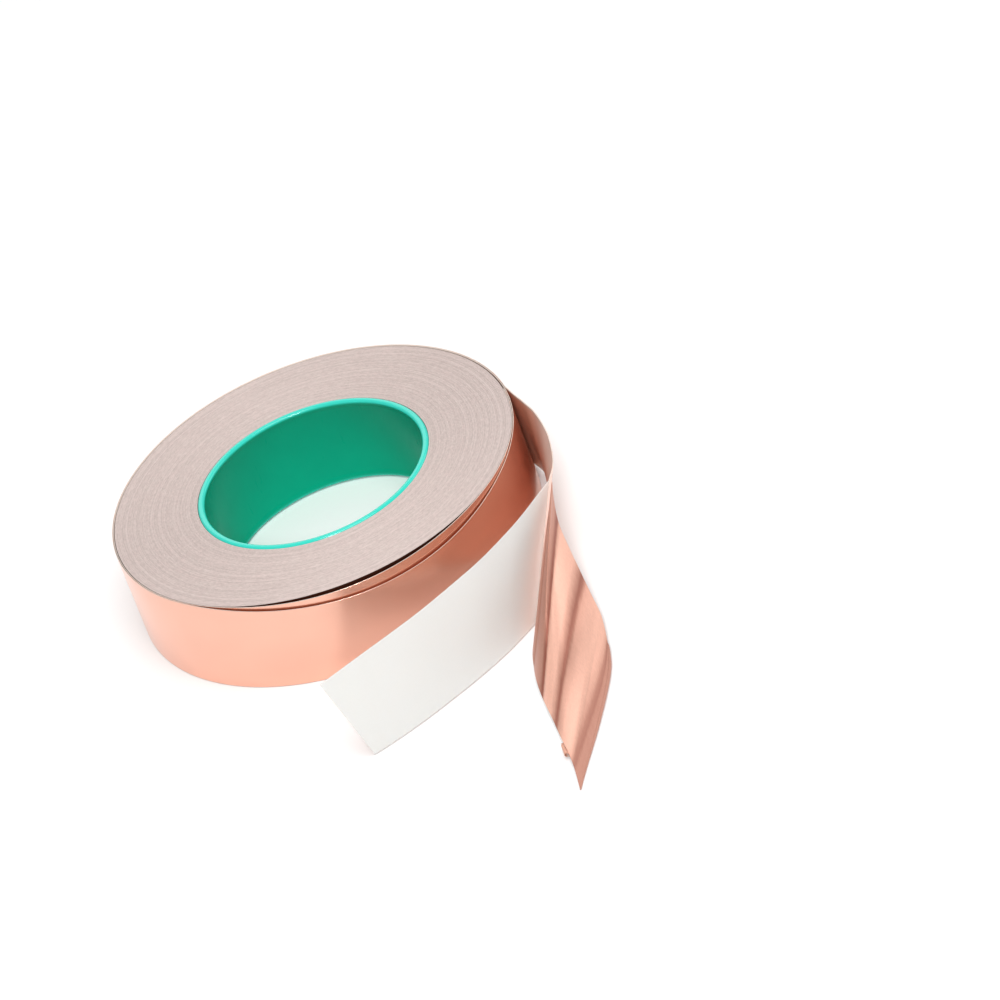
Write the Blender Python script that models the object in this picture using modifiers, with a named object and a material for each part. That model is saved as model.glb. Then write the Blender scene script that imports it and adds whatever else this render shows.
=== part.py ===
"""A roll of copper foil tape on a green plastic core, its free end pulled loose and part peeled.

Run it with blender --background --python part.py, or from Blender's text editor. It works in
metres with +Z up. The roll lies flat with its axis on Z, and the free end comes off on its +X side.
"""
import math

import bmesh
import bpy
from mathutils import Vector

COLLECTION_NAME = "copper_foil_tape_roll"
MM = 0.001

# The gap kept between pieces that touch on the real roll.
CLEARANCE = 0.0003

# The core: a tube for a three inch mandrel, with a round bead inside each rim.
CORE_OUTER_RADIUS = 0.0396
CORE_WALL = 0.0016
CORE_BOTTOM = 0.0002
CORE_HEIGHT = 0.0320
BEAD_RADIUS = 0.0012
BEAD_OVERHANG = 0.0007
BEAD_FILLET = 0.0019
BEAD_STEPS = 6
ROUND_STEPS = 96

# The tape, and the pack of tight turns, which sits slightly off the core's axis.
TAPE_WIDTH = 0.0318
PACK_RADIUS = 0.0676
PACK_SHIFT = 0.0004
PACK_SHIFT_DEGREES = 140

# One wound layer is foil, adhesive and liner together. Parted, each has about half.
LAMINATE_THICKNESS = 0.0002
LAYER_THICKNESS = 0.00015
TURN_PITCH = LAMINATE_THICKNESS + CLEARANCE

# The last two turns run anticlockwise from where the tail leaves the roll. Each is slack over
# one stretch of its round, and stands off most at the middle of it.
TAIL_DEGREES = 6
TURN_SWEEP_DEGREES = 355
TURN_STEP_DEGREES = 2.5
SECOND_TURN_SLACK = {"rise": 0.0020, "middle": -80, "reach": 62}
OUTER_TURN_SLACK = {"rise": 0.0058, "middle": -86, "reach": 84}
SLACK_AT_FOOT = 0.5

# The edges of the tail in millimetres, from the roll to the line where foil and liner part.
TAIL_TOP = [
    (68.3, 6.7, 31.9), (70.0, 0.2, 32.0), (72.0, -6.4, 32.0), (74.1, -14.8, 32.0),
    (75.2, -27.4, 31.8), (74.5, -38.4, 31.4), (73.0, -46.0, 31.1), (70.2, -52.6, 30.8),
]
TAIL_FOOT = [
    (68.3, 6.7, 0.3), (70.5, -1.0, 0.5), (70.7, -8.0, 0.5), (69.6, -16.0, 0.5), (68.2, -26.0, 0.5),
    (65.4, -38.0, 0.5), (60.8, -52.0, 0.5), (55.6, -66.5, 0.5), (50.1, -80.1, 0.5),
]
# The liner goes on round the front of the roll and stands on its edge.
LINER_TOP = [
    (70.2, -52.6, 30.8), (65.4, -58.1, 31.0), (59.7, -64.9, 31.3), (53.3, -71.7, 31.6), (41.6, -82.0, 31.9),
    (30.0, -89.8, 32.0), (18.8, -96.6, 32.0), (8.1, -102.1, 32.0), (-2.8, -107.4, 32.0), (-16.8, -114.3, 32.0),
]
LINER_FOOT = [
    (50.1, -80.1, 0.5), (43.9, -85.3, 0.5), (38.0, -89.9, 0.5), (28.4, -96.1, 0.5), (17.3, -102.3, 0.5),
    (6.3, -107.9, 0.5), (-4.4, -112.4, 0.5), (-9.6, -114.2, 0.5),
]
# The foil folds back at that line and falls forward. Its far end is rolled under.
FOIL_RIGHT = [
    (71.0, -53.4, 30.4), (69.5, -56.8, 26.4), (68.2, -62.2, 21.0), (68.4, -68.0, 15.6),
    (69.0, -74.6, 10.2), (69.6, -82.4, 6.0), (70.2, -93.6, 3.0), (68.9, -105.7, 2.2),
]
FOIL_ROLLED_EDGE = [
    (68.9, -105.7, 2.2), (64.7, -121.0, 1.9), (57.2, -140.0, 1.4), (49.0, -158.2, 0.9), (45.4, -166.6, 0.7),
]
FOIL_LEFT = [
    (45.4, -166.6, 0.7), (46.0, -155.4, 0.7), (45.6, -144.6, 0.7), (45.0, -131.6, 0.7),
    (44.3, -113.2, 0.7), (45.8, -97.6, 0.8), (50.2, -81.4, 1.1),
]
FOIL_STEPS_LONG = 22
FOIL_STEPS_ACROSS = 44
RIPPLE_HEIGHT = 0.0007
RIPPLES = 3.5
RIPPLE_RUN_IN = 0.1
ROLL_UNDER_RADIUS = 0.0011
ROLL_UNDER_TAPER = 0.75
ROLL_UNDER_DEGREES = 200
ROLL_UNDER_STEPS = 6

# How finely curves are read, along their whole length and between two given points.
STRIP_STEPS = 28
ACROSS_STEPS = 4
CURVE_STEPS = 16
EDGE_STEPS = 200
LINER_GAP = 0.0012

COPPER = (0.72, 0.36, 0.24)
GREEN = (0.012, 0.36, 0.235)
LINER_WHITE = (0.83, 0.83, 0.79)
EDGE_BEIGE = (0.58, 0.50, 0.46)


def clear_scene():
    """Remove every object, so that the script can be run again."""
    for thing in list(bpy.data.objects):
        bpy.data.objects.remove(thing, do_unlink=True)


def new_material(name, colour, roughness, metallic=0.0):
    material = bpy.data.materials.new(name)
    material.use_nodes = True
    shader = material.node_tree.nodes["Principled BSDF"]
    shader.inputs["Base Color"].default_value = (*colour, 1.0)
    shader.inputs["Roughness"].default_value = roughness
    shader.inputs["Metallic"].default_value = metallic
    material.diffuse_color = (*colour, 1.0)
    return material


def add_object(name, data, material, collection):
    thing = bpy.data.objects.new(name, data)
    data.materials.append(material)
    collection.objects.link(thing)
    return thing


def in_metres(points):
    return [Vector(point) * MM for point in points]


def smooth_path(points, count):
    """Read count + 1 points at even lengths along a smooth curve through the given points."""
    ends = [points[0] * 2 - points[1]] + list(points) + [points[-1] * 2 - points[-2]]
    fine = []
    for before, start, stop, after in zip(ends, ends[1:], ends[2:], ends[3:]):
        for step in range(CURVE_STEPS):
            t = step / CURVE_STEPS
            fine.append(0.5 * (
                2 * start
                + (stop - before) * t
                + (2 * before - 5 * start + 4 * stop - after) * t ** 2
                + (3 * start - before - 3 * stop + after) * t ** 3
            ))
    fine.append(points[-1].copy())
    lengths = [0.0]
    for near, far in zip(fine, fine[1:]):
        lengths.append(lengths[-1] + (far - near).length)
    path = []
    index = 0
    for step in range(count + 1):
        target = lengths[-1] * step / count
        while index < len(fine) - 2 and lengths[index + 1] < target:
            index += 1
        share = (target - lengths[index]) / (lengths[index + 1] - lengths[index])
        path.append(fine[index].lerp(fine[index + 1], min(share, 1.0)))
    return path


def loft(name, rows, material, collection, thickness, side=0.0, stand_off=0.0):
    """Make a thin strip through rows of points. Side is which way the thickness grows."""
    sheet = bmesh.new()
    grid = [[sheet.verts.new(point) for point in row] for row in rows]
    for row, next_row in zip(grid, grid[1:]):
        for a, b, c, d in zip(row, row[1:], next_row[1:], next_row):
            sheet.faces.new((a, b, c, d))
    sheet.normal_update()
    if stand_off:
        normals = [vertex.normal.copy() for vertex in sheet.verts]
        for vertex, normal in zip(sheet.verts, normals):
            vertex.co += normal * stand_off
    mesh = bpy.data.meshes.new(name)
    sheet.to_mesh(mesh)
    sheet.free()
    mesh.shade_smooth()
    thing = add_object(name, mesh, material, collection)
    solid = thing.modifiers.new("thickness", "SOLIDIFY")
    solid.thickness = thickness
    solid.offset = side
    solid.use_even_offset = True
    return thing


def add_core(collection, material):
    """Turn the core's wall and its two rim beads."""
    bore = CORE_OUTER_RADIUS - CORE_WALL
    half_width = (CORE_WALL + BEAD_OVERHANG) / 2
    middle = CORE_OUTER_RADIUS - half_width
    profile = [(CORE_OUTER_RADIUS, CORE_HEIGHT - BEAD_RADIUS), (CORE_OUTER_RADIUS, BEAD_RADIUS)]
    lower_arc = []
    for step in range(BEAD_STEPS + 1):
        angle = math.pi * step / BEAD_STEPS
        lower_arc.append((middle + half_width * math.cos(angle), BEAD_RADIUS * (1 - math.sin(angle))))
    profile += lower_arc[1:]
    foot = BEAD_RADIUS + BEAD_FILLET
    profile += [(bore, foot), (bore, CORE_HEIGHT - foot)]
    profile += [(x, CORE_HEIGHT - z) for x, z in reversed(lower_arc[1:])]
    mesh = bpy.data.meshes.new("core")
    ring = [(x, 0.0, z) for x, z in profile]
    edges = [(index, (index + 1) % len(ring)) for index in range(len(ring))]
    mesh.from_pydata(ring, edges, [])
    core = add_object("core", mesh, material, collection)
    turning = core.modifiers.new("turning", "SCREW")
    turning.axis = "Z"
    turning.angle = math.tau
    turning.steps = ROUND_STEPS
    turning.render_steps = ROUND_STEPS
    turning.use_merge_vertices = True
    turning.merge_threshold = 0.00001
    turning.use_smooth_shade = True
    core.location.z = CORE_BOTTOM


def pack_radius(degrees):
    """The radius of the tight pack at an angle round the roll."""
    return PACK_RADIUS + PACK_SHIFT * math.cos(math.radians(degrees - PACK_SHIFT_DEGREES))


def add_wound_pack(collection, material):
    """Extrude the ring of tight turns from a flat outline with the core's hole in it."""
    outline = bpy.data.curves.new("wound_pack", "CURVE")
    outline.dimensions = "2D"
    outline.fill_mode = "BOTH"
    outline.extrude = TAPE_WIDTH / 2
    bore = CORE_OUTER_RADIUS + CLEARANCE
    for radius_at in (pack_radius, lambda degrees: bore):
        spline = outline.splines.new("POLY")
        spline.points.add(ROUND_STEPS - 1)
        spline.use_cyclic_u = True
        for step, point in enumerate(spline.points):
            degrees = 360 * step / ROUND_STEPS
            radius = radius_at(degrees)
            angle = math.radians(degrees)
            point.co = (radius * math.cos(angle), radius * math.sin(angle), 0.0, 1.0)
    pack = add_object("wound_pack", outline, material, collection)
    pack.location.z = TAPE_WIDTH / 2


def slack_at(degrees, slack):
    """How far a slack turn stands off its neighbour at an angle round the roll."""
    away = (degrees - slack["middle"] + 180) % 360 - 180
    if abs(away) >= slack["reach"]:
        return 0.0
    return slack["rise"] * 0.5 * (1 + math.cos(math.pi * away / slack["reach"]))


def add_turn(name, layer, slack, collection, material):
    """One slack turn, standing on its edge round the pack and the layers under it."""
    steps = round(TURN_SWEEP_DEGREES / TURN_STEP_DEGREES)
    rows = []
    for step in range(steps + 1):
        done = step / steps
        degrees = TAIL_DEGREES + TURN_SWEEP_DEGREES * done
        angle = math.radians(degrees)
        radius = pack_radius(degrees) + TURN_PITCH * (layer - done)
        rise = slack_at(degrees, slack)
        outward = Vector((math.cos(angle), math.sin(angle), 0.0))
        foot = outward * (radius + rise * SLACK_AT_FOOT)
        top = outward * (radius + rise) + Vector((0, 0, TAPE_WIDTH))
        rows.append([foot, top])
    loft(name, rows, material, collection, LAMINATE_THICKNESS)


def ruled_rows(foot, top, first=0.0):
    """Straight lines across a strip between its two edges, starting a little way along."""
    lower = smooth_path(in_metres(foot), STRIP_STEPS)
    upper = smooth_path(in_metres(top), STRIP_STEPS)
    if first:
        lower[0] = lower[0].lerp(lower[1], first / (lower[1] - lower[0]).length)
        upper[0] = upper[0].lerp(upper[1], first / (upper[1] - upper[0]).length)
    return [
        [low.lerp(high, step / ACROSS_STEPS) for step in range(ACROSS_STEPS + 1)]
        for low, high in zip(lower, upper)
    ]


def add_tail(collection, copper, paper):
    """The laminated tail, as its foil outside and its liner inside."""
    rows = ruled_rows(TAIL_FOOT, TAIL_TOP)
    half_gap = CLEARANCE / 2
    loft("tail_foil", rows, copper, collection, LAYER_THICKNESS, 1.0, half_gap)
    loft("tail_liner", rows, paper, collection, LAYER_THICKNESS, -1.0, -half_gap)


def add_liner_end(collection, material):
    rows = ruled_rows(LINER_FOOT, LINER_TOP, first=LINER_GAP)
    loft("liner_end", rows, material, collection, LAYER_THICKNESS, -1.0, -CLEARANCE / 2)


def foil_rows():
    """Rulings of the bare foil, from its rolled edge to the line where it parts from the liner."""
    rolled = smooth_path(in_metres(FOIL_ROLLED_EDGE), FOIL_STEPS_LONG)
    start = smooth_path(in_metres(FOIL_RIGHT[::-1]), EDGE_STEPS)
    parting = smooth_path(in_metres([FOIL_RIGHT[0], FOIL_LEFT[-1]]), EDGE_STEPS)
    heads = smooth_path(start + parting[1:], FOIL_STEPS_ACROSS)
    tails = smooth_path(in_metres(FOIL_LEFT), FOIL_STEPS_ACROSS)
    rows = [rolled]
    for index in range(1, FOIL_STEPS_ACROSS):
        share = index / FOIL_STEPS_ACROSS
        lift = RIPPLE_HEIGHT * math.sin(math.tau * RIPPLES * share) * math.sin(math.pi * share)
        row = []
        for step in range(FOIL_STEPS_LONG + 1):
            along = step / FOIL_STEPS_LONG
            point = heads[index].lerp(tails[index], along)
            point.z += lift * math.sin(math.pi * min(along + RIPPLE_RUN_IN, 0.5))
            row.append(point)
        rows.append(row)
    return rows


def roll_under(edge):
    """Carry the rolled edge on round and under itself, tightest at the tip."""
    lengthwise = (edge[-1] - edge[0]).normalized()
    outward = Vector((0, 0, 1)).cross(lengthwise).normalized()
    rows = []
    for turn in range(ROLL_UNDER_STEPS, 0, -1):
        angle = math.radians(ROLL_UNDER_DEGREES * turn / ROLL_UNDER_STEPS)
        row = []
        for index, point in enumerate(edge):
            radius = ROLL_UNDER_RADIUS * (1 - ROLL_UNDER_TAPER * index / (len(edge) - 1))
            drop = Vector((0, 0, radius * (1 - math.cos(angle))))
            row.append(point + outward * radius * math.sin(angle) - drop)
        rows.append(row)
    return rows


def add_foil_end(collection, material):
    rows = foil_rows()
    loft("foil_end", roll_under(rows[0]) + rows, material, collection, LAYER_THICKNESS)


def main():
    clear_scene()
    collection = bpy.data.collections.new(COLLECTION_NAME)
    bpy.context.scene.collection.children.link(collection)
    add_core(collection, new_material("core_green", GREEN, 0.28))
    add_wound_pack(collection, new_material("pack_edges", EDGE_BEIGE, 0.6))
    copper = {"colour": COPPER, "roughness": 0.3, "metallic": 1.0}
    add_turn("second_turn", 1.5, SECOND_TURN_SLACK, collection, new_material("second_turn_copper", **copper))
    add_turn("outer_turn", 2.6, OUTER_TURN_SLACK, collection, new_material("outer_turn_copper", **copper))
    tail_copper = new_material("tail_copper", **copper)
    add_tail(collection, tail_copper, new_material("tail_paper", LINER_WHITE, 0.65))
    add_liner_end(collection, new_material("liner_paper", LINER_WHITE, 0.55))
    add_foil_end(collection, new_material("foil_copper", COPPER, 0.35, 1.0))


main()
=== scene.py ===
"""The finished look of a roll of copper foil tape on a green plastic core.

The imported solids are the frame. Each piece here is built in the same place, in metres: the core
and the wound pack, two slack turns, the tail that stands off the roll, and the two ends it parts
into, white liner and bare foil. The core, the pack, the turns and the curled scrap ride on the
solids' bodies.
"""
import bisect
import math

import bmesh
import bpy
from bpy.props import FloatProperty, FloatVectorProperty, IntProperty, PointerProperty
from mathutils import Matrix, Vector, noise


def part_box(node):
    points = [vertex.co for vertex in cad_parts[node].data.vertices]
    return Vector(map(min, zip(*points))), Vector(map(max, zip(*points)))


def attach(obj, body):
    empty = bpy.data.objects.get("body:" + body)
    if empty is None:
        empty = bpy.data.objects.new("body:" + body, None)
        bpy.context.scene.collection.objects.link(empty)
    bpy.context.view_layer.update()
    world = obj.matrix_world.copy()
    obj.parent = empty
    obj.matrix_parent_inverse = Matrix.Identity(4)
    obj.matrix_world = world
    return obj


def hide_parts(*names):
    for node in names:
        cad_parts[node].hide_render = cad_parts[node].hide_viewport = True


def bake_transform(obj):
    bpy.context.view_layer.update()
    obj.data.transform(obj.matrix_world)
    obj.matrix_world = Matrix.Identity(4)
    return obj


bl_info = {
    "name": "Copper foil tape roll",
    "version": (1, 0, 0),
    "blender": (4, 5, 0),
    "location": "View3D > Sidebar > Foil tape",
    "description": "Builds the wound pack, core, tail, liner and foil of a tape roll",
    "category": "Add Mesh",
}

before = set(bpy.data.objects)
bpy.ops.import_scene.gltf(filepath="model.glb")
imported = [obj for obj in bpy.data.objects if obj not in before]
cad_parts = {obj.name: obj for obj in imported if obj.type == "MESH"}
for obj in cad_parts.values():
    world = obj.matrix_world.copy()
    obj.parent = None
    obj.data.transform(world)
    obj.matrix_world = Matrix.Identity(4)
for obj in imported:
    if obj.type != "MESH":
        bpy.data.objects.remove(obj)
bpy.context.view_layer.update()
CORE_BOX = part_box("core")
PACK_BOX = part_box("wound_pack")
MM = 0.001

# The edges of the tail in millimetres, from the roll to the line where foil and liner part.
TAIL_TOP = [
    (68.3, 6.7, 31.9), (70.0, 0.2, 32.0), (72.0, -6.4, 32.0), (74.1, -14.8, 32.0),
    (75.2, -27.4, 31.8), (74.5, -38.4, 31.4), (73.0, -46.0, 31.1), (70.2, -52.6, 30.8),
]
TAIL_FOOT = [
    (68.3, 6.7, 0.3), (70.5, -1.0, 0.5), (70.7, -8.0, 0.5), (69.6, -16.0, 0.5), (68.2, -26.0, 0.5),
    (65.4, -38.0, 0.5), (60.8, -52.0, 0.5), (55.6, -66.5, 0.5), (50.1, -80.1, 0.5),
]
# The liner goes on round the front of the roll and stands on its edge.
LINER_TOP = [
    (70.2, -52.6, 30.8), (65.4, -58.1, 31.0), (59.7, -64.9, 31.3), (53.3, -71.7, 31.6),
    (41.6, -82.0, 31.9), (30.0, -89.8, 32.0), (18.8, -96.6, 32.0), (8.1, -102.1, 32.0),
    (-2.8, -107.4, 32.0), (-16.8, -114.3, 32.0),
]
LINER_FOOT = [
    (50.1, -80.1, 0.5), (43.9, -85.3, 0.5), (38.0, -89.9, 0.5), (28.4, -96.1, 0.5), (17.3, -102.3, 0.5),
    (6.3, -107.9, 0.5), (-4.4, -112.4, 0.5), (-9.6, -114.2, 0.5),
]
# The foil folds back at that line and falls forward. Its far end is rolled under.
FOIL_RIGHT = [
    (71.0, -53.4, 30.4), (69.5, -56.8, 26.4), (68.2, -62.2, 21.0), (68.4, -68.0, 15.6),
    (69.0, -74.6, 10.2), (69.6, -82.4, 6.0), (70.2, -93.6, 3.0), (68.9, -105.7, 2.2),
]
FOIL_ROLLED_EDGE = [
    (68.9, -105.7, 2.2), (64.7, -121.0, 1.9), (57.2, -140.0, 1.4), (49.0, -158.2, 0.9),
    (45.4, -166.6, 0.7),
]
FOIL_LEFT = [
    (45.4, -166.6, 0.7), (46.0, -155.4, 0.7), (45.6, -144.6, 0.7), (45.0, -131.6, 0.7),
    (44.3, -113.2, 0.7), (45.8, -97.6, 0.8), (50.2, -81.4, 1.1),
]
# How wide the rounded border of a cut edge looks.
HEM = 0.00012
# The line along the middle of the tape, as its distance from the tape's foot.
MIDLINE = 0.0159
# Where along the tail its liner starts to lift off the foil, and where it is free of it. From there on
# the tail's inner face is painted with light bounced off the copper.
LINER_LIFTS = (0.016, 0.052)
# How far from the parting line the peeled liner gets a painted pink glow, for light bounced off the
# copper.
PAINTED_GLOW_REACH = 0.019
# Where the foil's creases lie, as shares of the way across it from the rolled edge.
CREASES = (-0.06, 0.277, 0.47, 0.67, 0.88, 1.12)
# How light the foil is painted from fold to fold, by the same share: 0 dark, 1 bright. The dark is
# painted shade in the creases.
FOLD_PAINTED_SHADE = (
    (0.0, 0.42), (0.018, 0.26), (0.038, 0.34), (0.060, 0.66), (0.085, 0.90), (0.115, 1.0), (0.19, 0.92),
    (0.255, 0.62), (0.277, 0.22), (0.290, 0.16), (0.318, 0.55), (0.35, 0.95), (0.44, 1.0), (0.462, 0.72),
    (0.478, 0.10), (0.492, 0.14), (0.52, 0.42), (0.60, 0.50), (0.68, 0.38), (0.72, 0.54), (0.80, 0.62),
    (0.90, 0.44), (1.0, 0.55),
)


class CoreSettings(bpy.types.PropertyGroup):
    """The plastic core."""

    radius: FloatProperty(
        name="Radius", description="Outer radius of the core's wall", default=CORE_BOX[1].x,
        subtype="DISTANCE", unit="LENGTH", precision=4)
    wall: FloatProperty(
        name="Wall", description="Thickness of the wall", default=0.0016,
        subtype="DISTANCE", unit="LENGTH", precision=4)
    bead: FloatProperty(
        name="Bead", description="Height of the rounded bead round each rim", default=0.0010,
        subtype="DISTANCE", unit="LENGTH", precision=4)
    overhang: FloatProperty(
        name="Overhang", description="How far the bead stands in from the wall", default=0.0007,
        subtype="DISTANCE", unit="LENGTH", precision=4)
    steps: IntProperty(name="Steps", description="Flats round the core", default=192, min=24)
    colour: FloatVectorProperty(
        name="Plastic", description="Colour of the plastic", default=(0.001, 0.32, 0.190),
        subtype="COLOR", size=3, min=0.0, max=1.0)
    # The rims' lighter colour is a painted glow, standing for light caught in the thin plastic.
    rim_glow_colour: FloatVectorProperty(
        name="Rim", description="Lighter colour where the thin rims let light through",
        default=(0.03, 0.62, 0.50), subtype="COLOR", size=3, min=0.0, max=1.0)


class PackSettings(bpy.types.PropertyGroup):
    """The tightly wound turns."""

    radius: FloatProperty(
        name="Radius", description="Outer radius of the tight turns", default=0.06795,
        subtype="DISTANCE", unit="LENGTH", precision=4)
    bore: FloatProperty(
        name="Bore", description="Radius where the winding starts", default=0.03965,
        subtype="DISTANCE", unit="LENGTH", precision=4)
    width: FloatProperty(
        name="Tape width", description="Width of the tape, which is the pack's height",
        default=PACK_BOX[1].z, subtype="DISTANCE", unit="LENGTH", precision=4)
    layer: FloatProperty(
        name="Ring", description="Width of one modelled ring, about two layers of tape",
        default=0.0004, subtype="DISTANCE", unit="LENGTH", precision=5)
    groove: FloatProperty(
        name="Groove", description="Depth of the groove between two rings", default=0.00010,
        subtype="DISTANCE", unit="LENGTH", precision=5)
    telescope: FloatProperty(
        name="Telescoping", description="How far groups of layers stand above their neighbours",
        default=0.00022, subtype="DISTANCE", unit="LENGTH", precision=5)
    shift: FloatProperty(
        name="Shift", description="How far the outermost turns sit off the core's axis",
        default=0.0004, subtype="DISTANCE", unit="LENGTH", precision=4)
    shift_angle: FloatProperty(
        name="Shift direction", description="Direction of that shift", default=math.radians(140),
        subtype="ANGLE", unit="ROTATION")
    steps: IntProperty(name="Steps", description="Flats round the pack", default=180, min=24)
    edge_colour: FloatVectorProperty(
        name="Layer edges", description="Colour of the stacked edges of paper and foil",
        default=(0.610, 0.522, 0.490), subtype="COLOR", size=3, min=0.0, max=1.0)


class TapeSettings(bpy.types.PropertyGroup):
    """The laminated tape: the slack turns, the tail and the two parted ends."""

    thickness: FloatProperty(
        name="Tape", description="Thickness of foil, adhesive and liner together", default=0.0002,
        subtype="DISTANCE", unit="LENGTH", precision=5)
    layer: FloatProperty(
        name="Layer", description="Thickness of the foil or of the liner alone", default=0.00015,
        subtype="DISTANCE", unit="LENGTH", precision=5)
    turn_pitch: FloatProperty(
        name="Turn pitch", description="Distance from one slack turn to the next", default=0.00035,
        subtype="DISTANCE", unit="LENGTH", precision=5)
    departure: FloatProperty(
        name="Departure", description="Where round the roll the tail leaves it",
        default=math.radians(5.2), subtype="ANGLE", unit="ROTATION")
    sweep: FloatProperty(
        name="Sweep", description="How far round each slack turn goes", default=math.radians(360),
        subtype="ANGLE", unit="ROTATION")
    ripple: FloatProperty(
        name="Ripple", description="Height of the bare foil's ripples", default=0.0007,
        subtype="DISTANCE", unit="LENGTH", precision=5)
    copper: FloatVectorProperty(
        name="Copper", description="Colour of the foil's bright face", default=(0.90, 0.515, 0.395),
        subtype="COLOR", size=3, min=0.0, max=1.0)
    # The brown is partly the foil seen through the liner and partly painted shade of the narrow gaps it
    # lines.
    backing_with_shade: FloatVectorProperty(
        name="Backed copper", description="Colour of the foil seen through its thin liner",
        default=(0.68, 0.335, 0.23), subtype="COLOR", size=3, min=0.0, max=1.0)
    paper: FloatVectorProperty(
        name="Liner", description="Colour of the peeled liner", default=(0.635, 0.64, 0.615),
        subtype="COLOR", size=3, min=0.0, max=1.0)
    # The liner's back is white paper; this pinkish colour is painted light bounced onto it from the
    # copper.
    paper_back_glow: FloatVectorProperty(
        name="Liner's back", description="Colour of the liner's side that faced the adhesive",
        default=(0.86, 0.665, 0.575), subtype="COLOR", size=3, min=0.0, max=1.0)
    cut_edge: FloatVectorProperty(
        name="Cut edge", description="Colour of the tape's cut edges", default=(0.78, 0.66, 0.58),
        subtype="COLOR", size=3, min=0.0, max=1.0)


class StageSettings(bpy.types.PropertyGroup):
    """Floor, lights and camera."""

    floor_colour: FloatVectorProperty(
        name="Floor", description="Colour of the floor", default=(0.93, 0.93, 0.93),
        subtype="COLOR", size=3, min=0.0, max=1.0)
    surround: FloatProperty(
        name="Surround", description="Brightness of the even light all round", default=0.44, min=0.0)
    key_power: FloatProperty(
        name="Key light", description="Power of the soft light in front, a little to the right",
        default=12.5, subtype="POWER", unit="POWER")
    overhead_power: FloatProperty(
        name="Overhead light", description="Power of the wide light above", default=13.0,
        subtype="POWER", unit="POWER")
    backdrop_power: FloatProperty(
        name="Backdrop light", description="Power of the wide light behind, which the foil mirrors",
        default=15.0, subtype="POWER", unit="POWER")
    side_power: FloatProperty(
        name="Side light", description="Power of the wide light at the right, which the folds mirror",
        default=5.2, subtype="POWER", unit="POWER")
    elevation: FloatProperty(
        name="Elevation", description="The camera's height as an angle", default=math.radians(33.5),
        subtype="ANGLE", unit="ROTATION")
    camera_roll: FloatProperty(
        name="Camera roll", description="How far the camera leans to one side",
        default=math.radians(-20.81), subtype="ANGLE", unit="ROTATION")
    camera_distance: FloatProperty(
        name="Camera distance", description="Distance to the point it looks at", default=1.2817,
        subtype="DISTANCE", unit="LENGTH")
    lens: FloatProperty(
        name="Lens", description="Focal length", default=144.0, subtype="DISTANCE_CAMERA")


class Wire:
    """A node's output. Arithmetic on it adds the Math nodes that do the sum."""

    def __init__(self, finish, socket):
        self.finish = finish
        self.socket = socket

    def sum(self, operation, *terms):
        return self.finish.node("ShaderNodeMath", {"operation": operation}, dict(enumerate(terms)))

    def __add__(self, other):
        return self.sum("ADD", self, other)

    def __radd__(self, other):
        return self.sum("ADD", other, self)

    def __sub__(self, other):
        return self.sum("SUBTRACT", self, other)

    def __rsub__(self, other):
        return self.sum("SUBTRACT", other, self)

    def __mul__(self, other):
        return self.sum("MULTIPLY", self, other)

    def __rmul__(self, other):
        return self.sum("MULTIPLY", other, self)

    def __truediv__(self, other):
        return self.sum("DIVIDE", self, other)

    def __pow__(self, other):
        return self.sum("POWER", self, other)

    def __abs__(self):
        return self.sum("ABSOLUTE", self)


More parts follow.
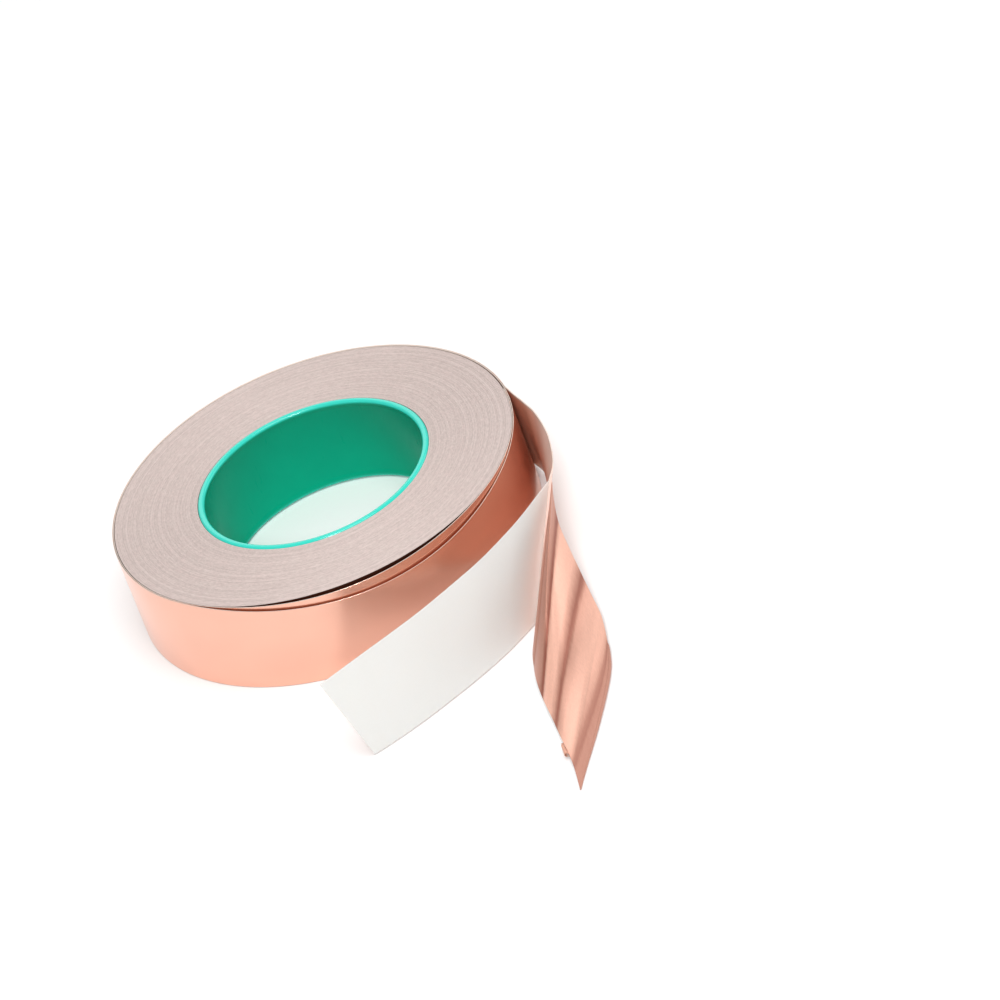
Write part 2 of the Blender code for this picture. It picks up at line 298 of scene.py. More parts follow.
class Finish:
    """A material in the making, with one way to add any node to it."""

    def __init__(self, name):
        self.material = bpy.data.materials.new(name)
        self.material.use_nodes = True
        self.tree = self.material.node_tree
        self.shader = self.tree.nodes["Principled BSDF"]

    def put(self, socket, value):
        """Link a wire to a socket, or set its plain value."""
        if isinstance(value, Wire):
            self.tree.links.new(value.socket, socket)
        elif isinstance(value, (int, float)):
            socket.default_value = value
        elif len(socket.default_value) == 4:
            socket.default_value = (*value, 1.0)
        else:
            socket.default_value = value

    def node(self, kind, settings=None, inputs=None, output=0):
        """Add a node: its settings first, then its sockets by name or number."""
        node = self.tree.nodes.new(kind)
        for name, value in (settings or {}).items():
            if name == "stops":
                ramp = node.color_ramp
                while len(ramp.elements) < len(value):
                    ramp.elements.new(1.0)
                for element, (place, tone) in zip(ramp.elements, value):
                    element.position = place
                    element.color = (*tone, 1.0)
            else:
                setattr(node, name, value)
        for key, value in (inputs or {}).items():
            self.put(node.inputs[key], value)
        return Wire(self, node.outputs[output])

    def mix(self, factor, first, second):
        """Blend two colours."""
        settings = {"data_type": "RGBA", "clamp_factor": True}
        return self.node("ShaderNodeMix", settings, {0: factor, 6: first, 7: second}, output=2)

    def axes(self, vector):
        """The three parts of a vector."""
        split = self.node("ShaderNodeSeparateXYZ", None, {0: vector})
        return [Wire(self, output) for output in split.socket.node.outputs]

    def join(self, x, y, z):
        return self.node("ShaderNodeCombineXYZ", None, {0: x, 1: y, 2: z})

    def place(self):
        return self.node("ShaderNodeTexCoord", output="Object")

    def along_tape(self):
        """The piece's own map: metres along the tape, and metres across it."""
        return self.node("ShaderNodeUVMap", {"uv_map": "tape"})

    def noise(self, vector, scale, detail=3.0, roughness=0.5):
        inputs = {"Vector": vector, "Scale": scale, "Detail": detail, "Roughness": roughness}
        return self.node("ShaderNodeTexNoise", None, inputs)

    def rings(self, distance, scale, detail):
        """Noise that changes only with a distance."""
        inputs = {"W": distance * scale, "Scale": 1.0, "Detail": detail}
        return self.node("ShaderNodeTexNoise", {"noise_dimensions": "1D"}, inputs)

    def step(self, value, start, end):
        """0 before start and 1 after end, smoothly between."""
        settings = {"interpolation_type": "SMOOTHSTEP", "clamp": True}
        return self.node("ShaderNodeMapRange", settings, {0: value, 1: start, 2: end})

    def attribute(self, name):
        return self.node("ShaderNodeAttribute", {"attribute_name": name}, output="Fac")

    def bump(self, height, strength, distance, under=None):
        inputs = {"Height": height, "Strength": strength, "Distance": distance}
        if under is not None:
            inputs["Normal"] = under
        return self.node("ShaderNodeBump", None, inputs)

    def done(self, **sockets):
        """Set the surface's sockets, named with underscores for spaces."""
        for name, value in sockets.items():
            self.put(self.shader.inputs[name.replace("_", " ")], value)
        return self.material


def shade(colour, factor):
    """The same colour, lighter or darker."""
    return tuple(min(part * factor, 1.0) for part in colour)


def core_plastic(settings):
    """Glossy moulded green with faint flow marks and scuffs, and a painted glow in the thin rims."""
    finish = Finish("core_plastic")
    x, y, z = finish.axes(finish.place())
    low, high = CORE_BOX[0].z, CORE_BOX[1].z
    above_foot = finish.step(z, low, low + 0.0016)
    at_top = finish.step(z, high - 0.0014, high - 0.0004)
    near_rim = 1 - above_foot * (1 - at_top)
    cloud = finish.noise(finish.place(), 55.0, 3.0)
    flow = finish.noise(finish.join(x * 220.0, y * 220.0, z * 25.0), 1.0, 2.0)
    plastic = finish.mix(cloud, shade(settings.colour, 0.90), shade(settings.colour, 1.10))
    # Painted glow: the rims are painted lighter for the light they catch.
    colour = finish.mix(near_rim, plastic, tuple(settings.rim_glow_colour))
    scuffs = finish.noise(finish.join(x * 900.0, y * 900.0, z * 120.0), 1.0, 4.0, 0.6)
    height = flow * 0.6 + scuffs * 0.4
    return finish.done(
        Base_Color=colour,
        Roughness=0.24 + 0.10 * scuffs,
        Normal=finish.bump(height, 0.05, 0.0003),
        Coat_Weight=near_rim * 0.8,
        Coat_Roughness=0.10,
        Specular_IOR_Level=0.07,
    )


def pack_edges(settings):
    """Stacked edges of paper and foil: fine rings of several tones round the axis."""
    finish = Finish("pack_edges")
    place = finish.place()
    x, y, _ = finish.axes(place)
    flat = finish.join(x, y, 0.0)
    radius = finish.node("ShaderNodeVectorMath", {"operation": "LENGTH"}, {0: flat}, "Value")
    wander = finish.noise(place, 30.0, 2.0) * 0.0006
    ring = radius + wander
    fine = finish.rings(ring, 4200.0, 1.0)
    broad = finish.rings(ring, 800.0, 2.0)
    turned = finish.join(x / radius * 38.0, y / radius * 38.0, ring * 2300.0)
    dashes = finish.noise(turned, 1.0, 2.0, 0.6)
    fibre = finish.noise(place, 2600.0, 2.0, 0.6)
    tint = finish.noise(place, 320.0, 2.0)
    tone = finish.step(fine * 0.28 + broad * 0.17 + dashes * 0.37 + fibre * 0.18, 0.36, 0.64)
    paper = finish.mix(tint, tuple(settings.edge_colour), (0.60, 0.475, 0.445))
    between = finish.mix(tint, (0.46, 0.385, 0.35), (0.44, 0.365, 0.345))
    colour = finish.mix(tone, between, paper)
    height = fine * 0.35 + dashes * 0.35 + fibre * 0.2 + broad * 0.1
    return finish.done(
        Base_Color=colour,
        Roughness=0.62 - 0.10 * tone,
        Normal=finish.bump(height, 0.35, 0.0002),
        Specular_IOR_Level=0.35,
    )


def rolled_copper(name, settings):
    """Bright rolled copper foil: fine lines along the tape, faint clouding, softly uneven."""
    finish = Finish(name)
    along, across, _ = finish.axes(finish.along_tape())
    lines = finish.noise(finish.join(along * 30.0, across * 5200.0, 0.0), 1.0, 3.0, 0.6)
    cloud = finish.noise(finish.join(along * 45.0, across * 75.0, 0.0), 1.0, 3.0)
    spots = finish.noise(finish.join(along * 160.0, across * 190.0, 3.7), 1.0, 4.0, 0.6)
    stains = finish.step(spots, 0.60, 0.82)
    grit = finish.noise(finish.join(along * 2400.0, across * 2400.0, 0.0), 1.0, 2.0)
    clean = finish.mix(cloud, shade(settings.copper, 0.92), shade(settings.copper, 1.05))
    colour = finish.mix(stains * 0.10, clean, (0.70, 0.32, 0.20))
    swell = finish.noise(finish.join(along * 38.0, across * 14.0, 0.0), 1.0, 1.0)
    dents = finish.noise(finish.join(along * 170.0, across * 34.0, 5.1), 1.0, 2.0)
    soft = finish.bump(swell * 0.75 + dents * 0.25, 0.5, 0.0006)
    return finish.done(
        Base_Color=colour,
        Metallic=1.0,
        Roughness=0.16 + 0.05 * lines + 0.05 * grit + 0.06 * stains,
        Normal=finish.bump(lines * 0.5 + grit * 0.5, 0.12, 0.00004, under=soft),
    )


def painted_shade_side_copper(settings):
    """Copper on the pack's side, painted dark as shade, for the turns round it shut out the light."""
    finish = Finish("pack_side_painted_shade")
    x, y, z = finish.axes(finish.place())
    lines = finish.noise(finish.join(x * 40.0, y * 40.0, z * 5000.0), 1.0, 3.0, 0.6)
    cloud = finish.noise(finish.place(), 60.0, 3.0)
    # Painted shade: the copper is darkened to a fraction of its colour for the shade under the turns.
    colour = finish.mix(cloud, shade(settings.copper, 0.22), shade(settings.copper, 0.30))
    return finish.done(
        Base_Color=colour,
        Metallic=1.0,
        Roughness=0.18 + 0.10 * lines,
        Normal=finish.bump(lines, 0.12, 0.00005),
    )


def bare_foil(settings):
    """Peeled foil, satin and grainy: bright on the crowns of its folds, with painted shade between."""
    finish = Finish("bare_foil")
    tape = finish.along_tape()
    along, across, _ = finish.axes(tape)
    grit = finish.noise(tape, 1900.0, 3.0, 0.65)
    mottle = finish.noise(finish.join(along * 300.0, across * 420.0, 0.0), 1.0, 3.0)
    streak = finish.noise(finish.join(along * 22.0, across * 1100.0, 1.3), 1.0, 3.0, 0.6)
    fold = finish.attribute("fold") + (streak - 0.5) * 0.016 + (mottle - 0.5) * 0.014
    # Painted shade: the ramp darkens the copper towards a deep brown in the creases between the folds.
    stops = [(place, (light, light, light)) for place, light in FOLD_PAINTED_SHADE]
    tone = finish.node("ShaderNodeValToRGB", {"stops": stops}, {0: fold})
    light = finish.axes(tone)[0] * (0.82 + 0.36 * grit) - mottle * 0.05
    dark = finish.mix(mottle, (0.22, 0.055, 0.032), (0.28, 0.075, 0.045))
    bright = finish.mix(grit, shade(settings.copper, 0.98), shade(settings.copper, 1.10))
    colour = finish.mix(light, dark, bright)
    soft = finish.bump(mottle, 0.25, 0.0003)
    return finish.done(
        Base_Color=colour,
        Metallic=0.62,
        Roughness=0.34 + 0.12 * grit,
        Normal=finish.bump(grit * 0.7 + streak * 0.3, 0.18, 0.00006, under=soft),
    )


def backed_copper(name, settings, lifted=False):
    """An inner face: foil seen brown through its waxy liner, darkened with painted shade, and paler with
    painted copper-bounced light where the liner has lifted.
    """
    finish = Finish(name)
    along, across, _ = finish.axes(finish.along_tape())
    wax = finish.noise(finish.join(along * 130.0, across * 130.0, 0.0), 1.0, 3.0)
    fibre = finish.noise(finish.join(along * 1500.0, across * 2600.0, 0.0), 1.0, 3.0, 0.6)
    near_edge = 1 - finish.step(abs(across - MIDLINE), MIDLINE - 0.0010, MIDLINE - 0.0003)
    # The brown is partly the foil through the liner and partly painted shade.
    dark = finish.mix(wax, shade(settings.backing_with_shade, 0.82), shade(settings.backing_with_shade, 1.16))
    # Painted glow: where the liner has lifted, the inner face takes the copper-bounced light painted
    # into the liner's back.
    if lifted:
        dark = finish.mix(finish.step(along, *LINER_LIFTS), dark, settings.paper_back_glow)
    colour = finish.mix(near_edge, tuple(settings.cut_edge), dark)
    return finish.done(
        Base_Color=colour,
        Metallic=0.1,
        Roughness=0.30 + 0.14 * fibre,
        Normal=finish.bump(fibre * 0.4 + wax * 0.6, 0.12, 0.0002),
    )


def liner_paper(name, settings, colour):
    """Waxy release paper: faint fibres and bands, and a painted pink glow of light bounced off the foil
    near the parting line.
    """
    finish = Finish(name)
    along, across, _ = finish.axes(finish.along_tape())
    # Painted glow: pink for copper-bounced light, strongest at the parting line.
    peel = 1 - finish.step(along + (across - MIDLINE) * 0.10, 0.0, PAINTED_GLOW_REACH)
    fibre = finish.noise(finish.join(along * 1400.0, across * 1400.0, 0.0), 1.0, 4.0, 0.65)
    bands = finish.noise(finish.join(along * 260.0, across * 18.0, 0.0), 1.0, 2.0)
    wave = finish.noise(finish.join(along * 48.0, across * 30.0, 0.0), 1.0, 1.0)
    paper = finish.mix(fibre, shade(colour, 0.975), shade(colour, 1.025))
    warm = finish.mix(bands * 0.35, paper, tuple(0.5 * part + 0.34 for part in colour))
    colour = finish.mix(peel ** 1.8 * 0.50, warm, (0.90, 0.64, 0.54))
    soft = finish.bump(wave, 0.3, 0.0006)
    return finish.done(
        Base_Color=colour,
        Roughness=0.36 + 0.12 * fibre,
        Normal=finish.bump(fibre * 0.7 + bands * 0.3, 0.10, 0.0001, under=soft),
        Specular_IOR_Level=0.45,
        Subsurface_Weight=0.35,
        Subsurface_Radius=(1.0, 0.85, 0.75),
        Subsurface_Scale=0.001,
    )


def cut_edge(settings):
    """The thin cut edge of the tape, pale paper with a copper glint."""
    finish = Finish("cut_edge")
    place = finish.place()
    fray = finish.noise(place, 1700.0, 3.0, 0.6)
    glint = finish.step(finish.noise(place, 420.0, 2.0), 0.52, 0.66)
    paper = finish.mix(fray, shade(settings.cut_edge, 0.9), shade(settings.cut_edge, 1.1))
    colour = finish.mix(glint * 0.35, paper, (0.86, 0.50, 0.36))
    return finish.done(
        Base_Color=colour,
        Roughness=0.38 + 0.2 * fray,
        Normal=finish.bump(fray, 0.2, 0.00008),
    )


class EdgeLine:
    """A smooth line through a few points in millimetres, read by share of its length."""

    CURVE_STEPS = 24

    def __init__(self, *runs):
        self.fine = []
        for run in runs:
            self.fine += self.curve([Vector(point) * MM for point in run])[1 if self.fine else 0:]
        self.lengths = [0.0]
        for near, far in zip(self.fine, self.fine[1:]):
            self.lengths.append(self.lengths[-1] + (far - near).length)
        self.length = self.lengths[-1]

    def curve(self, points):
        ends = [points[0] * 2 - points[1]] + points + [points[-1] * 2 - points[-2]]
        fine = []
        for before, start, stop, after in zip(ends, ends[1:], ends[2:], ends[3:]):
            for step in range(self.CURVE_STEPS):
                t = step / self.CURVE_STEPS
                fine.append(0.5 * (
                    2 * start
                    + (stop - before) * t
                    + (2 * before - 5 * start + 4 * stop - after) * t ** 2
                    + (3 * start - before - 3 * stop + after) * t ** 3
                ))
        return fine + [points[-1].copy()]

    def at(self, share):
        target = self.length * min(max(share, 0.0), 1.0)
        index = min(max(bisect.bisect_left(self.lengths, target) - 1, 0), len(self.fine) - 2)
        span = self.lengths[index + 1] - self.lengths[index]
        return self.fine[index].lerp(self.fine[index + 1], (target - self.lengths[index]) / span)


def finished(name, shape, materials, smooth=True):
    """Turn a bmesh into an object at the origin, with its materials."""
    mesh = bpy.data.meshes.new(name)
    shape.to_mesh(mesh)
    shape.free()
    for material in materials:
        mesh.materials.append(material)
    if smooth:
        mesh.shade_smooth()
    thing = bpy.data.objects.new(name, mesh)
    bpy.context.scene.collection.objects.link(thing)
    return thing


def spun(profile, steps):
    """Spin a closed outline of (radius, height) points once round the axis."""
    solid = bmesh.new()
    corners = [solid.verts.new((radius, 0.0, height)) for radius, height in profile]
    edges = [solid.edges.new(pair) for pair in zip(corners, corners[1:] + corners[:1])]
    bmesh.ops.spin(
        solid, geom=corners + edges, cent=(0, 0, 0), axis=(0, 0, 1), angle=math.tau, steps=steps,
        use_merge=True, use_normal_flip=False, use_duplicate=False)
    bmesh.ops.remove_doubles(solid, verts=solid.verts, dist=0.000001)
    bmesh.ops.recalc_face_normals(solid, faces=solid.faces)
    return solid


def hemmed(share, steps, length):
    """Crowd a grid's outermost points at its border, so only a thin hem there looks rounded."""
    index = round(share * steps)
    if index in (0, steps):
        return index / steps
    hem = HEM / length
    return hem + (1 - 2 * hem) * (index - 1) / (steps - 2)


def strip(columns, rows, surface, size, marks=None, outward=True):
    """Lay a grid on surface(along, across), with a map in metres and any named marks per point."""
    sheet = bmesh.new()
    tape_map = sheet.loops.layers.uv.new("tape")
    layers = {name: sheet.verts.layers.float.new(name) for name in marks or {}}
    bmesh.ops.create_grid(sheet, x_segments=columns, y_segments=rows, size=0.5)
    for vertex in sheet.verts:
        along = hemmed(vertex.co.x + 0.5, columns, size[0])
        across = hemmed(vertex.co.y + 0.5, rows, size[1])
        for loop in vertex.link_loops:
            loop[tape_map].uv = (along * size[0], across * size[1])
        for name, layer in layers.items():
            vertex[layer] = marks[name](along, across)
        vertex.co = surface(along, across)
    if not outward:
        bmesh.ops.reverse_faces(sheet, faces=sheet.faces)
    sheet.normal_update()
    return sheet


def give_thickness(thing, thickness, side):
    """Thicken a strip: first material on its face, second on its back, third on its rim."""
    solid = thing.modifiers.new("thickness", "SOLIDIFY")
    solid.thickness = thickness
    solid.offset = side
    solid.material_offset = 1
    solid.material_offset_rim = 2


def built(thing, slot, body, *nodes):
    """Hide the solids the piece stands for and put it on its body, if it has one. The slot is not used.
    """
    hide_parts(*nodes)
    if body:
        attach(thing, body)


class FOILTAPE_OT_core(bpy.types.Operator):
    """Turn the plastic core with its two rim beads"""

    bl_idname = "foiltape.core"
    bl_label = "Core"
    ARC_STEPS = 10
    # The fillet from each bead down to the wall: its height, and the point in it that rounds it
    # off, as a share of the way down and of the overhang.
    FILLET = 0.0019
    FILLET_PLACE = 0.78
    FILLET_SHARE = 0.35

    def execute(self, context):
        settings = context.scene.foiltape_core
        low, high = CORE_BOX[0].z, CORE_BOX[1].z
        half = (settings.wall + settings.overhang) / 2
        middle = settings.radius - half
        arc = []
        for step in range(self.ARC_STEPS + 1):
            angle = math.pi * step / self.ARC_STEPS
            arc.append((middle + half * math.cos(angle), settings.bead * (1 - math.sin(angle))))
        bore = settings.radius - settings.wall
        foot = settings.bead + self.FILLET
        fillet = (bore - settings.overhang * self.FILLET_SHARE, foot * self.FILLET_PLACE)
        rim = arc + [fillet, (bore, foot)]
        profile = [(radius, low + rise) for radius, rise in rim]
        profile += [(radius, high - rise) for radius, rise in reversed(rim)]
        core = finished("core_tube", spun(profile, settings.steps), [core_plastic(settings)])
        built(core, "core", "roll", "core")
        return {"FINISHED"}


class FOILTAPE_OT_pack(bpy.types.Operator):
    """Build the wound pack, with its ringed faces and copper side"""

    bl_idname = "foiltape.pack"
    bl_label = "Wound pack"
    # How often the faces wave round the roll, and how strongly, as a share of the telescoping.
    WAVES = (2, 3, 5)
    WAVE_SHARE = 0.35
    # How far the waves lag behind from the bore to the outside, in radians.
    WAVE_LAG = 9
    # How much the layers' height changes from ring to ring, in broad steps and in fine ones.
    BROAD_STEPS = 0.09
    FINE_STEPS = 0.45
    # The mean depth below the face, and what each kind of step adds, as shares of the telescoping.
    MEAN_DEPTH = 0.5
    STEP_DEPTH = 0.35
    # The two faces differ in where they are read from the noise.
    TOP_SEED = 1.0
    BOTTOM_SEED = 5.0
    FINE_SEED = 7.0
    # A face that stands this upright and this near the outside is the pack's copper side.
    UPRIGHT = 0.05
    SIDE_DEPTH = 0.001

    def rise(self, settings, radius, seed):
        """How far the layers at a radius stand below the pack's face."""
        rings = radius / settings.layer
        broad = noise.noise(Vector((rings * self.BROAD_STEPS, seed, 0.0)))
        fine = noise.noise(Vector((rings * self.FINE_STEPS, seed, self.FINE_SEED)))
        return settings.telescope * (self.MEAN_DEPTH + self.STEP_DEPTH * (broad + fine))

    def face(self, settings, count, seed):
        """One ringed face as (radius, depth) points from the bore outwards."""
        points = [(settings.bore, self.rise(settings, settings.bore, seed))]
        for ring in range(count):
            radius = settings.bore + settings.layer * (ring + 0.5)
            depth = self.rise(settings, radius, seed)
            points.append((radius, depth))
            if ring < count - 1:
                points.append((radius + settings.layer / 2, depth + settings.groove))
        points.append((settings.radius, self.rise(settings, settings.radius, seed)))
        return points

    def execute(self, context):
        settings = context.scene.foiltape_pack
        tape = context.scene.foiltape_tape
        count = round((settings.radius - settings.bore) / settings.layer)
        top = self.face(settings, count, self.TOP_SEED)
        bottom = self.face(settings, count, self.BOTTOM_SEED)
        outline = [(radius, settings.width - depth) for radius, depth in top] + bottom[::-1]
        solid = spun(outline, settings.steps)
        span = settings.radius - settings.bore
        towards = Vector((math.cos(settings.shift_angle), math.sin(settings.shift_angle), 0.0))
        half = settings.width / 2
        for vertex in solid.verts:
            angle = math.atan2(vertex.co.y, vertex.co.x)
            share = (vertex.co.xy.length - settings.bore) / span
            sways = [math.sin(angle * wave + share * self.WAVE_LAG + wave) for wave in self.WAVES]
            sway = sum(sways) / len(sways)
            rise = settings.telescope * self.WAVE_SHARE * sway * share
            vertex.co.z += math.copysign(rise, vertex.co.z - half)
            vertex.co += towards * settings.shift * share
        solid.normal_update()
        for face in solid.faces:
            upright = abs(face.normal.z) < self.UPRIGHT
            outer = face.calc_center_median().xy.length > settings.radius - self.SIDE_DEPTH
            face.material_index = int(upright and outer)
        low, high = PACK_BOX[0].z, PACK_BOX[1].z
        for vertex in solid.verts:
            vertex.co.z = min(max(vertex.co.z, low), high)
        finishes = [pack_edges(settings), painted_shade_side_copper(tape)]
        pack = finished("wound_pack_rings", solid, finishes, smooth=False)
        built(pack, "pack_edge", "roll", "wound_pack")
        return {"FINISHED"}


class FOILTAPE_OT_turns(bpy.types.Operator):
    """Build the two slack turns round the pack"""

    bl_idname = "foiltape.turns"
    bl_label = "Slack turns"
    # Grid columns round the roll and rows over the tape's width.
    GRID = (360, 6)
    # For each turn: how many layers out it is, then how far its top stands off, how far its foot
    # does, and how far its top edge has slipped down, each with its middle and reach in degrees.
    TURNS = (
        ("second_turn", 1.5, (0.0022, -86, 46), (0.0003, -90, 50), (0.0, 0, 1)),
        ("outer_turn", 2.6, (0.0025, -85, 55), (0.0012, -145, 110), (0.0038, -74, 68)),
    )

    def swell(self, angle, shape):
        """A smooth hump round the roll, its height at its middle and nothing past its reach."""
        height, middle, reach = shape
        away = (math.degrees(angle) - middle + 180) % 360 - 180
        return height * 0.5 * (1 + math.cos(math.pi * min(abs(away) / reach, 1.0)))

    def surface(self, scene, layer, top, foot, drop):
        """The turn's surface, as a function of the shares along and across it."""
        pack = scene.foiltape_pack
        tape = scene.foiltape_tape

        def place(along, across):
            angle = tape.departure + tape.sweep * along
            round_pack = pack.radius + pack.shift * math.cos(angle - pack.shift_angle)
            radius = round_pack + tape.turn_pitch * (layer - along)
            radius += self.swell(angle, foot) * (1 - across) + self.swell(angle, top) * across
            height = (pack.width - self.swell(angle, drop)) * across
            return Vector((radius * math.cos(angle), radius * math.sin(angle), height))

        return place

    def execute(self, context):
        scene = context.scene
        tape = scene.foiltape_tape
        size = (tape.sweep * scene.foiltape_pack.radius, scene.foiltape_pack.width)
        edge = cut_edge(tape)
        back = backed_copper("turn_back", tape)
        for name, *shape in self.TURNS:
            sheet = strip(*self.GRID, self.surface(scene, *shape), size)
            copper = rolled_copper(name + "_copper", tape)
            turn = finished(name + "_tape", sheet, [copper, back, edge])
            give_thickness(turn, tape.thickness, 0.0)
            built(turn, "copper_foil", "slack_turns", name)
        return {"FINISHED"}


class FOILTAPE_OT_tail(bpy.types.Operator):
    """Build the tail that stands off the roll, foil outside and liner inside"""

    bl_idname = "foiltape.tail"
    bl_label = "Tail"
    GRID = (120, 12)

    def execute(self, context):
        scene = context.scene
        tape = scene.foiltape_tape
        foot, top = EdgeLine(TAIL_FOOT), EdgeLine(TAIL_TOP)
        edge = cut_edge(tape)
        size = (foot.length, scene.foiltape_pack.width)

        def surface(along, across):
            return foot.at(along).lerp(top.at(along), across)

        sheet = strip(*self.GRID, surface, size, outward=False)
        copper = rolled_copper("tail_copper", tape)
        foil = finished("tail_copper_face", sheet, [copper, copper, edge])
        give_thickness(foil, tape.layer, 1.0)
        sheet = strip(*self.GRID, surface, size, outward=False)
        back = backed_copper("tail_back", tape, lifted=True)
        liner = finished("tail_liner_face", sheet, [back, back, edge])
        give_thickness(liner, tape.layer, -1.0)
        built(foil, "copper_foil", None, "tail_foil")
        built(liner, "liner_paper", None, "tail_liner")
        for piece in (foil, liner):
            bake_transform(piece)
        return {"FINISHED"}


class FOILTAPE_OT_liner(bpy.types.Operator):
    """Build the peeled liner that stands on its edge in front of the roll"""

    bl_idname = "foiltape.liner"
    bl_label = "Peeled liner"
    GRID = (140, 12)

    def execute(self, context):
        scene = context.scene
        tape = scene.foiltape_tape
        foot, top = EdgeLine(LINER_FOOT), EdgeLine(LINER_TOP)

        def surface(along, across):
            return foot.at(along).lerp(top.at(along), across)

        size = ((foot.length + top.length) / 2, scene.foiltape_pack.width)
        sheet = strip(*self.GRID, surface, size, outward=False)
        paper = liner_paper("liner_paper", tape, tape.paper)
        # The liner's back carries painted copper-bounced light.
        back = liner_paper("liner_back", tape, tape.paper_back_glow)
        liner = finished("peeled_liner", sheet, [paper, back, paper])
        give_thickness(liner, tape.layer, -1.0)
        built(liner, "liner_paper", None, "liner_end")
        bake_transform(liner)
        return {"FINISHED"}


class FOILTAPE_OT_foil(bpy.types.Operator):
    """Build the bare foil, rippled, with one edge rolled under"""

    bl_idname = "foiltape.foil"
    bl_label = "Bare foil"
    # Grid columns over the sheet and round its rolled edge, and rows along it.
    ACROSS = 150
    ROLLED = 12
    ALONG = 90
    # Width and length of the bare foil, in metres.
    SIZE = (0.0318, 0.090)
    # How far the creases drift sideways from one end of the foil to the other.
    DRIFT = 0.10
    # The sheet stops just short of the corner where its edges meet.
    FAR_RULING = 0.977
    # How many times over the sheet's width its shape and its ripples ease in at a border.
    SHEET_EASE = 8
    RIPPLE_EASE = 6
    # The ripples' height at the parting line, and how soon they grow to their full height.
    CALM = 0.35
    CALM_OFFSET = 0.12
    # The rolled edge: its radius, how much it thins, where it starts and how far round it goes.
    ROLL_RADIUS = 0.0011
    ROLL_TAPER = 0.75
    ROLL_START = 0.14
    ROLL_ANGLE = math.radians(200)
    # The torn scrap: which stretch of the long edge it is on, and how tightly and how far it curls.
    CURL_SPAN = (0.275, 0.190)
    CURL_RADIUS = 0.0011
    CURL_ANGLE = math.radians(230)
    # Over how much of its length the curl opens, and how narrow it starts against its widest.
    CURL_START = 1 / 3
    CURL_NARROW = 0.6
    # Its grid, its length and width, and how it stands in, leans out and slants at its free edge.
    CURL_GRID = (14, 14)
    CURL_SIZE = (0.005, 0.0035)
    CURL_INSET = 0.0003
    CURL_REACH = 0.0012
    CURL_SLANT = 0.0010

    def crease(self, share, along):
        """Where on its ripple a point is: 0 at the crease on its left, 1 at the one on its right."""
        place = share - self.DRIFT * along
        for low, high in zip(CREASES, CREASES[1:]):
            if place < high:
                return (high - place) / (high - low)
        return 1.0

    def execute(self, context):
        tape = context.scene.foiltape_tape
        rolled = EdgeLine(FOIL_ROLLED_EDGE)
        heads = EdgeLine(FOIL_RIGHT[::-1], [FOIL_RIGHT[0], FOIL_LEFT[-1]])
        tails = EdgeLine(FOIL_LEFT)
        columns = self.ROLLED + self.ACROSS
        lengthwise = (rolled.at(1.0) - rolled.at(0.0)).normalized()
        outward = Vector((0, 0, 1)).cross(lengthwise).normalized()

        def shares(across):
            """Turn round the rolled edge from 1 to 0, then share of the way over the sheet."""
            column = across * columns
            return max(1 - column / self.ROLLED, 0.0), max(column - self.ROLLED, 0.0) / self.ACROSS

        def surface(across, along):
            turn, share = shares(across)
            if turn:
                point = rolled.at(along)
                angle = self.ROLL_ANGLE * turn
                radius = self.ROLL_RADIUS * (1 - self.ROLL_TAPER * along)
                radius *= min(along / self.ROLL_START, 1.0) ** 0.5
                below = Vector((0, 0, radius * (1 - math.cos(angle))))
                return point + outward * radius * math.sin(angle) - below
            ruling = share * self.FAR_RULING
            straight = heads.at(ruling).lerp(tails.at(ruling), along)
            sheet = rolled.at(along).lerp(straight, min(share * self.SHEET_EASE, 1.0))
            phase = self.crease(share, along)
            lift = tape.ripple * 4 * phase * (1 - phase)
            lift *= min(share * self.RIPPLE_EASE, 1.0) * min((1 - share) * self.RIPPLE_EASE, 1.0)
            growth = math.sin(math.pi * min(along + self.CALM_OFFSET, 0.5))
            lift *= self.CALM + (1 - self.CALM) * growth
            return sheet + Vector((0, 0, lift))

        def fold(across, along):
            """The share of the way across the folds, as the ramp of painted shade reads it."""
            return max(shares(across)[1] - self.DRIFT * along, 0.0)

        sheet = strip(columns, self.ALONG, surface, self.SIZE, {"fold": fold})
        tape_map = sheet.loops.layers.uv["tape"]
        for face in sheet.faces:
            for loop in face.loops:
                loop[tape_map].uv = loop[tape_map].uv.yx
        copper = bare_foil(tape)
        foil = finished("bare_foil_end", sheet, [copper, copper, copper])
        give_thickness(foil, tape.layer, 0.0)
        built(foil, "bare_foil", None, "foil_end")
        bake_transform(foil)
        self.curled_corner(tape, tails)
        return {"FINISHED"}

    def curled_corner(self, tape, edge):
        """A torn scrap of the foil's long edge, curled over on itself."""
        start, end = self.CURL_SPAN

        def surface(along, across):
            point = edge.at(start + (end - start) * along)
            growth = self.CURL_NARROW + (1 - self.CURL_NARROW) * along
            radius = self.CURL_RADIUS * min(along / self.CURL_START, 1.0) * growth
            angle = self.CURL_ANGLE * across
            return point + Vector((
                self.CURL_INSET - self.CURL_REACH * across - radius * math.sin(angle),
                -self.CURL_SLANT * across * along,
                radius * (1 - math.cos(angle)),
            ))

        sheet = strip(*self.CURL_GRID, surface, self.CURL_SIZE, outward=False)
        inside = backed_copper("curl_back", tape)
        curl = finished("curled_corner", sheet, [inside, inside, inside])
        give_thickness(curl, tape.layer, 0.0)
        built(curl, "bare_foil", "foil_end", "foil_end")


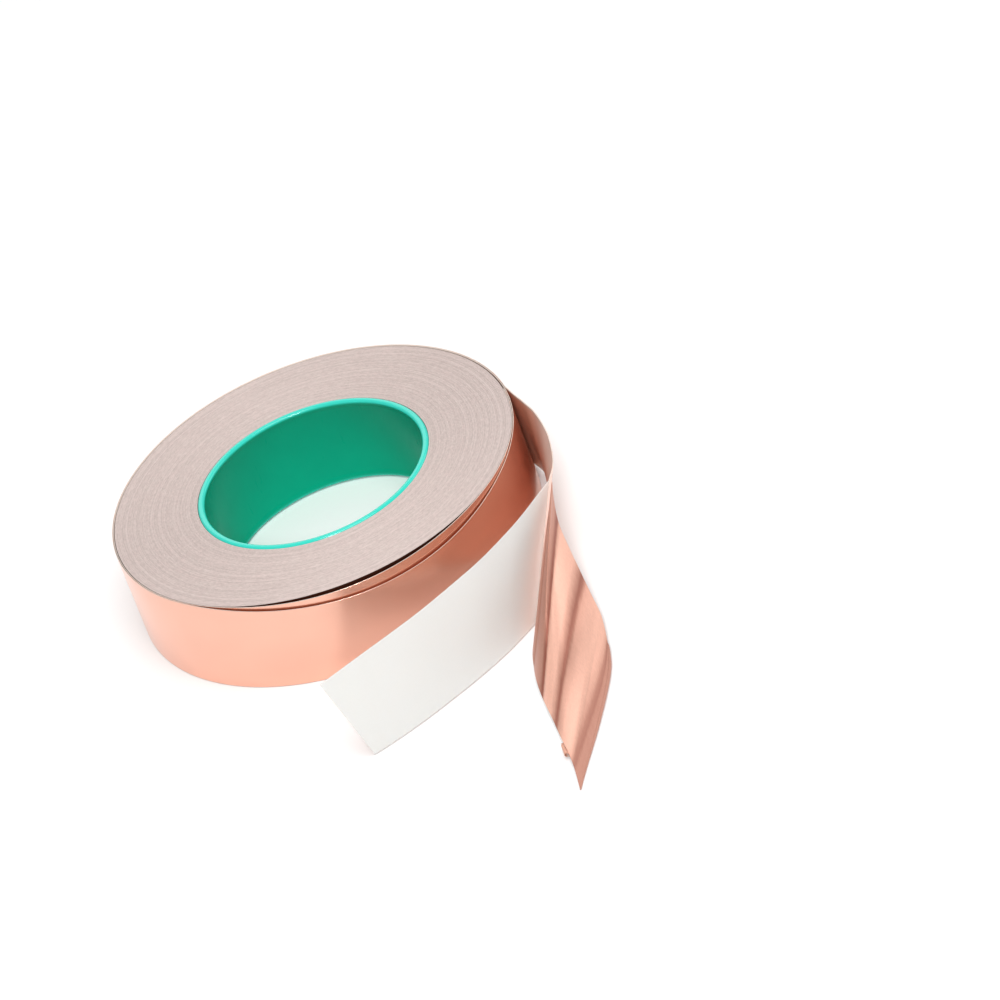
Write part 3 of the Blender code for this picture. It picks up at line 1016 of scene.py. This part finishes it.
class FOILTAPE_OT_stage(bpy.types.Operator):
    """Lay the floor and set up the lights and the camera"""

    bl_idname = "foiltape.stage"
    bl_label = "Floor, lights and camera"
    LOOK_AT = Vector((0.0536, -0.0307, 0.0159))
    FLOOR_SIZE = 6.0
    FLOOR_HEIGHT = -0.0002
    # Name, place and width of each light, in metres.
    LIGHTS = (
        ("key_light", Vector((-0.05, -1.40, 1.05)), 0.35),
        ("overhead_light", Vector((0.20, -0.58, 1.52)), 1.20),
        ("backdrop_light", Vector((-0.10, 1.90, 1.25)), 2.40),
        ("side_light", Vector((1.55, 0.50, 0.85)), 1.30),
    )

    def floor(self, settings):
        sheet = bmesh.new()
        bmesh.ops.create_grid(sheet, x_segments=1, y_segments=1, size=self.FLOOR_SIZE / 2)
        finish = Finish("pale_floor")
        cloud = finish.noise(finish.place(), 4.0, 2.0)
        colour = finish.mix(cloud, shade(settings.floor_colour, 0.99), settings.floor_colour)
        floor = finished("floor", sheet, [finish.done(Base_Color=colour, Roughness=0.9)], smooth=False)
        floor.data.transform(Matrix.Translation((0, 0, self.FLOOR_HEIGHT)))

    def light(self, name, place, width, power):
        lamp = bpy.data.lights.new(name, "AREA")
        lamp.shape = "DISK"
        lamp.size = width
        lamp.energy = power
        thing = bpy.data.objects.new(name, lamp)
        thing.location = place
        thing.rotation_euler = (self.LOOK_AT - place).to_track_quat("-Z", "Y").to_euler()
        thing.visible_camera = False
        bpy.context.scene.collection.objects.link(thing)

    def camera(self, settings):
        lens = bpy.data.cameras.new("camera")
        lens.lens = settings.lens
        lens.sensor_width = 36.0
        camera = bpy.data.objects.new("camera", lens)
        turn = Matrix.Rotation(math.pi / 2 - settings.elevation, 4, "X")
        turn @= Matrix.Rotation(settings.camera_roll, 4, "Z")
        back = turn.to_3x3() @ Vector((0, 0, settings.camera_distance))
        camera.matrix_world = Matrix.Translation(self.LOOK_AT + back) @ turn
        bpy.context.scene.collection.objects.link(camera)
        bpy.context.scene.camera = camera

    def execute(self, context):
        settings = context.scene.foiltape_stage
        scene = context.scene
        scene.view_settings.view_transform = "Standard"
        self.floor(settings)
        powers = (
            settings.key_power, settings.overhead_power, settings.backdrop_power, settings.side_power)
        for (name, place, width), power in zip(self.LIGHTS, powers):
            self.light(name, place, width, power)
        scene.world = scene.world or bpy.data.worlds.new("surround")
        scene.world.use_nodes = True
        background = scene.world.node_tree.nodes["Background"]
        background.inputs["Color"].default_value = (1.0, 1.0, 1.0, 1.0)
        background.inputs["Strength"].default_value = settings.surround
        self.camera(settings)
        return {"FINISHED"}


BUILD_STEPS = (
    FOILTAPE_OT_core, FOILTAPE_OT_pack, FOILTAPE_OT_turns, FOILTAPE_OT_tail,
    FOILTAPE_OT_liner, FOILTAPE_OT_foil, FOILTAPE_OT_stage,
)
SETTINGS = {
    "foiltape_core": CoreSettings,
    "foiltape_pack": PackSettings,
    "foiltape_tape": TapeSettings,
    "foiltape_stage": StageSettings,
}


class FOILTAPE_PT_panel(bpy.types.Panel):
    """Lists the steps that build the roll"""

    bl_label = "Foil tape roll"
    bl_space_type = "VIEW_3D"
    bl_region_type = "UI"
    bl_category = "Foil tape"

    def draw(self, context):
        for step in BUILD_STEPS:
            self.layout.operator(step.bl_idname)


def register():
    for group in (*SETTINGS.values(), *BUILD_STEPS, FOILTAPE_PT_panel):
        bpy.utils.register_class(group)
    for name, group in SETTINGS.items():
        setattr(bpy.types.Scene, name, PointerProperty(type=group))


def unregister():
    for name in SETTINGS:
        delattr(bpy.types.Scene, name)
    for group in (FOILTAPE_PT_panel, *BUILD_STEPS, *SETTINGS.values()):
        bpy.utils.unregister_class(group)


def main():
    register()
    bpy.ops.foiltape.core()
    bpy.ops.foiltape.pack()
    bpy.ops.foiltape.turns()
    bpy.ops.foiltape.tail()
    bpy.ops.foiltape.liner()
    bpy.ops.foiltape.foil()
    bpy.ops.foiltape.stage()


if __name__ == "__main__":
    main()
